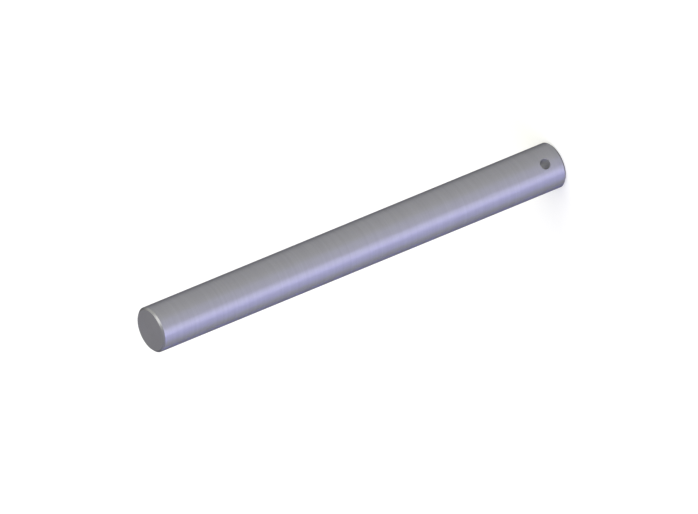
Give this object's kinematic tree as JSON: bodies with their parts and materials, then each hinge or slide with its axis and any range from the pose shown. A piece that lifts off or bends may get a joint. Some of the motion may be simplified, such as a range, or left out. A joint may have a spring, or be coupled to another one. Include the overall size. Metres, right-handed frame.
{
  "type": "cradle pin",
  "caption": "Straight round steel pin with plain chamfered ends and a cross hole near one end for a split pin.",
  "frame": {"origin": "centre of the drilled end's face, on the pin's axis; the pin stands on this face", "axes": "+Z along the pin's axis from the drilled end to the plain end; the cross hole runs along Y"},
  "size_m": [0.035, 0.035, 0.36],
  "materials": {
    "steel": "bright ground barrel, turned end faces and chamfers"
  },
  "bodies": {
    "root": {"pin": "steel"}
  },
  "joints": []
}
